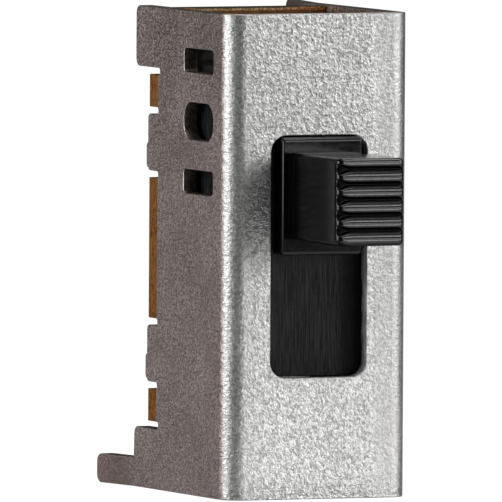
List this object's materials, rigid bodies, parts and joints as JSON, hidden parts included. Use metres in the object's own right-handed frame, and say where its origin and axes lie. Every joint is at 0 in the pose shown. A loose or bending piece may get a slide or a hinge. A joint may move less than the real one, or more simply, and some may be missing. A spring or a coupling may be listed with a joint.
{
  "type": "slide switch",
  "caption": "Miniature slide switch: ribbed black slider in a slotted, folded metal frame, with a brown terminal board, contact springs and solder tails at the back.",
  "frame": {"origin": "middle of the bounding box's bottom face, under the frame's lower end", "axes": "+Z along the slider's travel towards the frame's upper end, the front wall and knob face -Y, the solder side faces +Y, +X to the right seen from the front"},
  "size_m": [0.0058, 0.0116, 0.0127],
  "materials": {
    "tinned_steel": "bright tin plate, matt grain",
    "black_nylon": "satin moulded nylon",
    "phenolic_board": "paper laminate, punched edges",
    "plated_terminal": "silver-plated brass, satin",
    "plated_contact": "silver-plated, bright",
    "spring_steel": "drawn spring wire"
  },
  "bodies": {
    "frame": {"frame": "tinned_steel", "terminal_board": "phenolic_board", "terminal_left_top": "plated_terminal", "terminal_left_middle": "plated_terminal", "terminal_left_bottom": "plated_terminal", "terminal_right_top": "plated_terminal", "terminal_right_middle": "plated_terminal", "terminal_right_bottom": "plated_terminal"},
    "slider": {"slider": "black_nylon", "contact_left": "plated_contact", "contact_right": "plated_contact", "contact_spring_left": "spring_steel", "contact_spring_right": "spring_steel"}
  },
  "joints": [
    {"name": "slider_travel", "type": "slide", "parent": "frame", "child": "slider", "axis": [0, 0, -1], "range_m": [0, 0.00317]}
  ]
}
